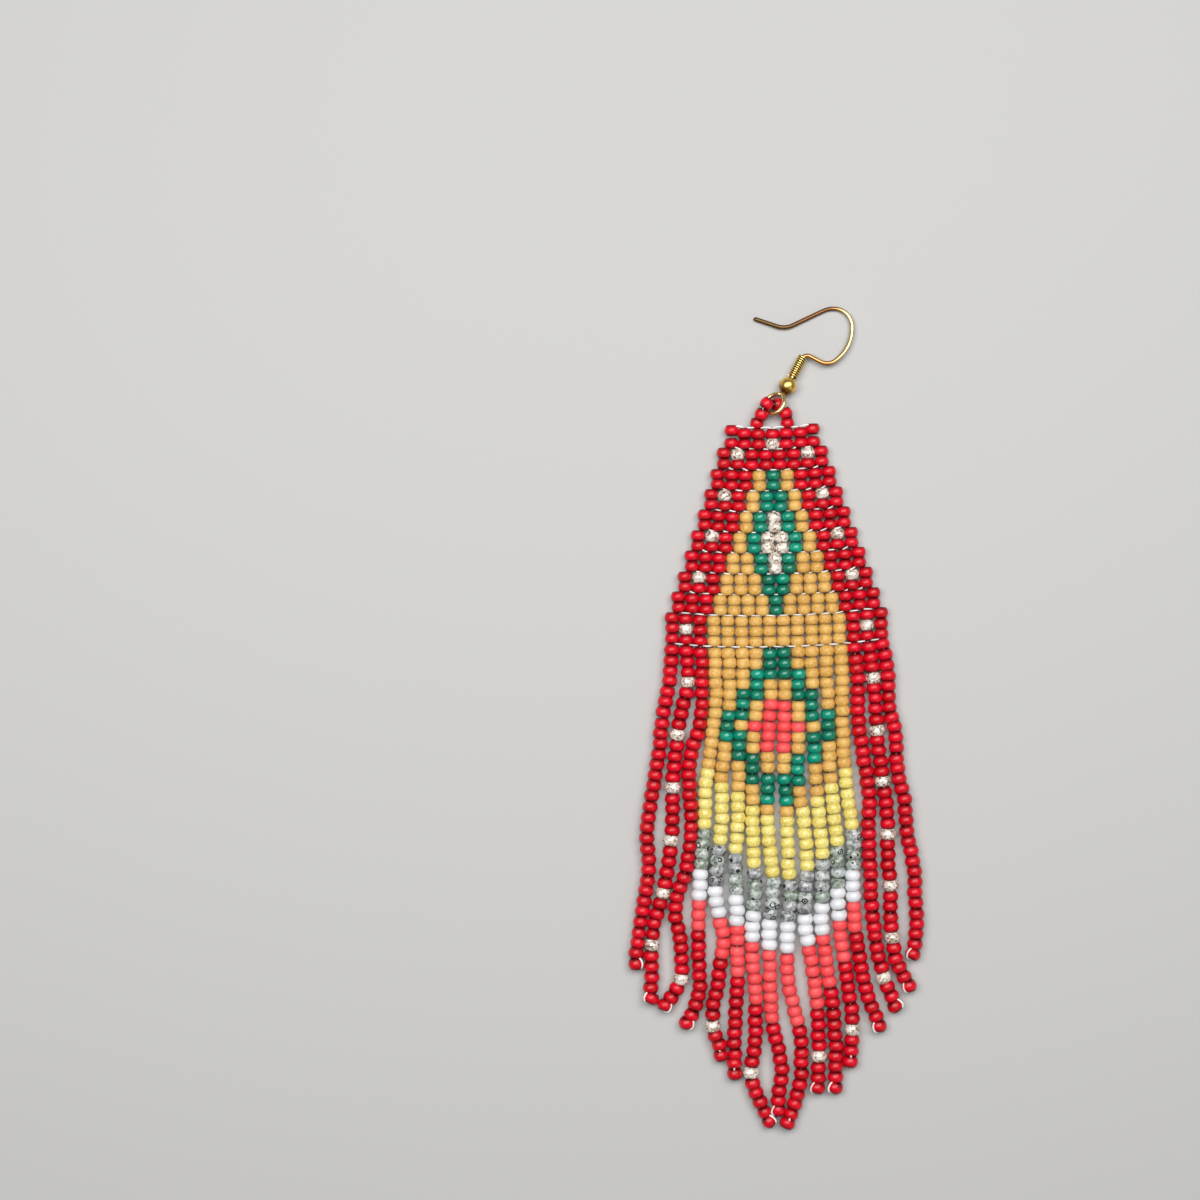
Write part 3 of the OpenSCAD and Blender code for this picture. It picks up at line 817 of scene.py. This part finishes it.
def hole_way(left, climb):
    left, climb = math.radians(left), math.radians(climb)
    return -math.sin(left) * math.cos(climb), math.cos(left) * math.cos(climb), math.sin(climb)


loop_beads = [("red", spot, hole_way(left, climb), LOOP_SIZE) for spot, left, climb in LOOP_BEADS]
bead_pieces("loop", "hanging_loop", loop_beads, seed=300, tilt=2, shift=0.0, length=1.13)
loop_knots = [LOOP_FEET[0]]
for _, spot, way, _ in loop_beads:
    loop_knots += [np.array(spot) + end * np.array(way) for end in (-HALF_HOLE, HALF_HOLE)]
loop_knots.append(LOOP_FEET[1])
loop_mesh = swept("loop_thread", [(smooth_path(loop_knots, 4), THREAD_R, 6, UP)])
new_piece("loop_thread", loop_mesh, beading_thread, "hanging_loop")


# ---- Ear hook ----
# Fish hook bent from one piece of drawn brass wire, 0.7 mm thick: eye ring, shank, bow and tip.
# The bow is pressed a little flat, and the tip is cut and tumbled round.
WIRE_R = 0.35
# Length of each straight run, radius of the bend after it, and its turn with left above zero
HOOK_LINE = [
    (4.9, 1, -90.5), (1.85, 2.25, 65.5), (0, 6.95, 52.5), (0, 2.95, 89),
    (0, 3.9, 26.5), (5.4, 3.4, -44.5), (3.55, 0, 0),
]
# Steps of its drawn line: in mm, and in degrees
STRAIGHT_STEP, BEND_STEP = 0.6, 6
# The bow is HOOK_LINE[2]. It is thinner across the hook's plane, and wider in it.
BOW, BOW_THINNER, BOW_WIDER = 2, 0.1, 0.14
BALL_PLACE = (1.75, 53.1, 1.68)
SHANK_WAY = 62.5
REST_WAY = math.radians(8)
HOOK_SLOPE = math.radians(6.6)
EYE_R, EYE_BELOW, EYE_LEFT, EYE_TURN = 1.75, 3.46, 0.55, math.radians(38)
# The eye ring goes round from its open end, which stops short of the shank. Its wire is thicker.
EYE_ANGLES = np.radians(np.arange(335, 20, -13))
EYE_THICKER = 1.08
SHANK_BELOW_BALL = (-1.55, -1.2, -0.6, 0)

as_hook_lies = (
    Matrix.Translation(BALL_PLACE) @ Matrix.Rotation(REST_WAY, 4, "Z")
    @ Matrix.Rotation(-HOOK_SLOPE, 4, "X") @ Matrix.Rotation(-REST_WAY, 4, "Z")
)
up_shank = as_hook_lies @ Matrix.Rotation(math.radians(SHANK_WAY - 90), 4, "Z")


# Plated brass, polished by tumbling: a bright pale gold with faint drawing marks.
def plated_brass(name, bright, warm, rough, tarnish_and_shade):
    """tarnish_and_shade adds a piece's own wear and painted shade: a function of the tree, the place on
    the object, the plating's colour and its roughness, which gives the last two back."""
    material, tree, place = new_material(name)
    wear = add_node(tree, "ShaderNodeTexNoise", {
        "Vector": place, "Scale": 1 / (2.5 * MM), "Detail": 3.0})
    tone = add_node(tree, "ShaderNodeMapRange", {
        "Value": wear, "From Min": 0.35, "From Max": 0.65, "To Max": 0.7})
    colour = add_node(tree, "ShaderNodeMix", {0: tone, 6: srgb(bright), 7: srgb(warm)}, data_type="RGBA")
    # Drawing and tumbling marks of 0.25 mm
    marks = add_node(tree, "ShaderNodeTexNoise", {
        "Vector": place, "Scale": 1 / (0.25 * MM), "Detail": 3.0})
    dull = add_node(tree, "ShaderNodeMapRange", {
        "Value": marks, "From Min": 0.3, "From Max": 0.7,
        "To Min": rough - 0.03, "To Max": rough + 0.03})
    relief = add_node(tree, "ShaderNodeBump", {"Height": marks, "Distance": 0.001 * MM, "Strength": 0.3})
    colour, dull = tarnish_and_shade(tree, place, colour, dull)
    brass = add_node(tree, "ShaderNodeBsdfPrincipled", {
        "Base Color": colour, "Metallic": 1.0, "Roughness": dull, "Normal": relief})
    add_node(tree, "ShaderNodeOutputMaterial", {"Surface": brass})
    return material


def hook_wear_and_shade(tree, place, colour, dull):
    """The wire's plating is pale and bright on the eye ring and the bow's outer side. Where it goes
    through the ear it has worn off: coppery on the bow, then brown, and dull brown at the tip. The
    bow's flanks, which face away from the light above, are darkened with painted shade."""
    spot = add_node(tree, "ShaderNodeSeparateXYZ", {"Vector": place}).outputs
    inner, above, higher, outwards = (
        add_node(tree, "ShaderNodeMapRange", {
            "Value": spot[axis], "From Min": start * MM, "From Max": full * MM})
        for axis, start, full in (("X", 11.5, 8.5), ("Y", 54.5, 55.5), ("Y", 60, 61.5), ("X", 5, 0))
    )
    # Painted shade on the bow's flanks: darker where the wire turns from facing up, away from the light
    top = add_node(tree, "ShaderNodeAttribute", attribute_name="top").outputs["Fac"]
    painted_flank_shade = add_node(tree, "ShaderNodeMapRange", {
        "Value": top, "From Min": 0.6, "From Max": 0.1, "To Max": 0.7})
    arm = add_node(tree, "ShaderNodeMath", {0: inner, 1: higher}, operation="MULTIPLY")
    # Worn plating in three tones, then the painted shade on the flanks
    for where, also, code in (
        (inner, above, "#C88E54"), (arm, 1.0, "#80583A"),
        (arm, outwards, "#6C5434"), (painted_flank_shade, above, "#5A4220"),
    ):
        share = add_node(tree, "ShaderNodeMath", {0: where, 1: also}, operation="MULTIPLY")
        colour = add_node(tree, "ShaderNodeMix", {0: share, 6: colour, 7: srgb(code)}, data_type="RGBA")
    duller = add_node(tree, "ShaderNodeMath", {0: arm, 1: 0.12, 2: dull}, operation="MULTIPLY_ADD")
    return colour, duller


def hook_route():
    """Points and radii of the wire in the hook's own plane, from the eye ring's end to the tip."""
    aside = EYE_LEFT / math.cos(EYE_TURN)
    start = math.acos(aside / EYE_R)
    ring = []
    for angle in start - EYE_ANGLES:
        x = EYE_R * math.cos(angle) - aside
        y = EYE_R * math.sin(angle) - EYE_BELOW
        ring.append((x * math.cos(EYE_TURN), y, x * math.sin(EYE_TURN)))
    shank = [(0, y, 0) for y in SHANK_BELOW_BALL]
    eye = Matrix.Rotation(math.radians(SHANK_WAY - 90), 3, "Z")
    steps = 4
    line = [tuple(eye @ Vector(p)) for p in smooth_path(ring + shank, steps)]
    in_shank = steps * (len(shank) - 1)
    thick = WIRE_R * EYE_THICKER
    radii = [(thick, thick)] * (len(line) - in_shank) + [(WIRE_R, WIRE_R)] * in_shank
    here, heading = np.zeros(2), SHANK_WAY
    for stretch, (straight, bend, turn) in enumerate(HOOK_LINE):
        angle = math.radians(heading)
        way = np.array([math.cos(angle), math.sin(angle)])
        steps = max(1, round(straight / STRAIGHT_STEP)) if straight else 0
        for k in range(1, steps + 1):
            line.append((*(here + way * straight * k / steps), 0))
            radii.append((WIRE_R, WIRE_R))
        here = here + way * straight
        if not bend:
            continue
        side = math.copysign(1, turn)
        middle = here + bend * side * np.array([-way[1], way[0]])
        steps = max(3, round(abs(turn) / BEND_STEP))
        for k in range(1, steps + 1):
            angle = math.radians(heading - 90 * side + turn * k / steps)
            line.append((*(middle + bend * np.array([math.cos(angle), math.sin(angle)])), 0))
            flat = math.sin(math.pi * k / steps) if stretch == BOW else 0
            radii.append((WIRE_R * (1 - BOW_THINNER * flat), WIRE_R * (1 + BOW_WIDER * flat)))
        here = np.array(line[-1][:2])
        heading += turn
    return line, radii


line, radii = hook_route()
line = [tuple(as_hook_lies @ Vector(p)) for p in line]
hook_plane_up = tuple(as_hook_lies.to_3x3() @ Vector(UP))
hook_mesh = swept("hook_wire", [(line, radii, 16, hook_plane_up)])
# How far each point of the wire faces up, read by the painted shade on the bow's flanks
tops = [vertex.normal.z for vertex in hook_mesh.vertices]
hook_mesh.attributes.new("top", "FLOAT", "POINT").data.foreach_set("value", tops)
worn_shaded_brass = plated_brass("worn_plated_brass_painted_shade", "#FAE6A8", "#EECB84", 0.33, hook_wear_and_shade)
new_piece("hook_wire", hook_mesh, worn_shaded_brass, "ear_hook")


# ---- Coil on the shank ----
# Fine brass wire wound closely round the shank, from the ball up to the first bend. It keeps the
# ball from sliding up. The grooves between its turns are darkened with painted shade.
COIL_R = 0.175
COIL_TURNS = 10.0
COIL_PITCH = 2 * COIL_R * 1.03
WINDING_GAP = 0.1
WINDING_R = WIRE_R + COIL_R + WINDING_GAP
BALL_R = 1.4
OFF_BALL = 0.04


def coil_groove_shade(tree, place, colour, dull):
    in_coil = up_shank.inverted()
    on_shank = add_node(tree, "ShaderNodeMapping", {
        "Vector": place, "Location": in_coil.translation * MM, "Rotation": in_coil.to_euler()})
    off_axis = add_node(tree, "ShaderNodeVectorMath", {
        0: on_shank, 1: (1.0, 0.0, 1.0)}, operation="MULTIPLY")
    from_axis = add_node(tree, "ShaderNodeVectorMath", {0: off_axis}, operation="LENGTH")
    # Painted shade in the grooves: the wire darkens towards the shank, between the turns
    painted_groove_shade = add_node(tree, "ShaderNodeMapRange", {
        "Value": from_axis.outputs["Value"], "From Min": (WINDING_R + 0.85 * COIL_R) * MM,
        "From Max": (WINDING_R + 0.5 * COIL_R) * MM, "To Max": 0.8})
    groove_shaded = add_node(tree, "ShaderNodeMix", {0: painted_groove_shade, 6: colour, 7: srgb("#342208")}, data_type="RGBA")
    return groove_shaded, dull


def winding_tree():
    """Geometry Nodes: a round wire along a spiral."""
    tree, given = start_group("wound_wire", {
        "Base": "Geometry", "Turns": "Float", "Winding Radius": "Float", "Height": "Float",
        "Wire Radius": "Float", "Material": "Material"})
    spiral = add_node(tree, "GeometryNodeCurveSpiral", {
        "Resolution": 20, "Rotations": given["Turns"], "Start Radius": given["Winding Radius"],
        "End Radius": given["Winding Radius"], "Height": given["Height"]})
    section = add_node(tree, "GeometryNodeCurvePrimitiveCircle", {
        "Resolution": 8, "Radius": given["Wire Radius"]})
    wire = add_node(tree, "GeometryNodeCurveToMesh", {
        "Curve": spiral, "Profile Curve": section, "Fill Caps": True})
    return end_group(tree, wire, given["Material"])


coil_brass = plated_brass("plated_brass_coil", "#FFE088", "#EFBE64", 0.34, coil_groove_shade)
coil = with_nodes("coil_wire", bpy.data.meshes.new("coil_base"), winding_tree(), {
    "Turns": COIL_TURNS, "Winding Radius": WINDING_R * MM,
    "Height": COIL_TURNS * COIL_PITCH * MM, "Wire Radius": COIL_R * MM, "Material": coil_brass})
# It begins and ends on the shank's left, away from the bend
coil_start = (
    up_shank @ Matrix.Translation((0, BALL_R + COIL_R + OFF_BALL, 0))
    @ Matrix.Rotation(-math.pi / 2, 4, "X") @ Matrix.Rotation(math.pi, 4, "Z")
)
coil_start.translation *= MM
coil.data.transform(coil_start)
fit(coil, "hook_coil")


# ---- Ball bead ----
# Round brass bead on the shank, turned and drilled, with a low collar at each end of its bore. It
# has painted light: bright on its upper right, and brown painted shade on its lower left.
BORE_R = 0.40
COLLAR_R = 0.60
BEVEL = 0.05
# The way towards which the ball's painted light is brightest
PAINTED_LIGHT_WAY = (0.55, 0.75, 0.35)


def ball_painted_light(tree, place, colour, dull):
    from_middle = add_node(tree, "ShaderNodeVectorMath", {
        0: place, 1: tuple(up_shank.translation * MM)}, operation="SUBTRACT")
    along = add_node(tree, "ShaderNodeVectorMath", {
        0: from_middle, 1: PAINTED_LIGHT_WAY}, operation="DOT_PRODUCT")
    # Painted shade: brown towards the lower left, away from the painted light's way
    share = add_node(tree, "ShaderNodeMapRange", {
        "Value": along.outputs["Value"], "From Min": 0.1 * MM, "From Max": -0.7 * MM, "To Max": 0.95})
    brown = add_node(tree, "ShaderNodeMix", {0: share, 6: colour, 7: srgb("#7A4A16")}, data_type="RGBA")
    return brown, dull


shoulder = math.asin(COLLAR_R / BALL_R) + 0.02
arc = [(BALL_R * math.sin(angle), -BALL_R * math.cos(angle))
       for angle in np.linspace(shoulder, math.pi - shoulder, 17)]
collar = [(BORE_R, BEVEL - BALL_R), (BORE_R + BEVEL, -BALL_R),
          (COLLAR_R - BEVEL, -BALL_R), (COLLAR_R, BEVEL - BALL_R)]
ball_mesh = turned("ball_bead", collar + arc + [(r, -z) for r, z in reversed(collar)], 40)
ball_place = up_shank @ Matrix.Rotation(-math.pi / 2, 4, "X")
ball_place.translation *= MM
ball_mesh.transform(ball_place)
ball_mesh.shade_smooth()
ball_brass = plated_brass("plated_brass_ball", "#FFD974", "#F0B450", 0.33, ball_painted_light)
new_piece("hook_ball", ball_mesh, ball_brass, "ball_bead")


# ---- The end ----
for shape in (*bead_shapes.values(), stitch_shape):
    bpy.data.objects.remove(shape)
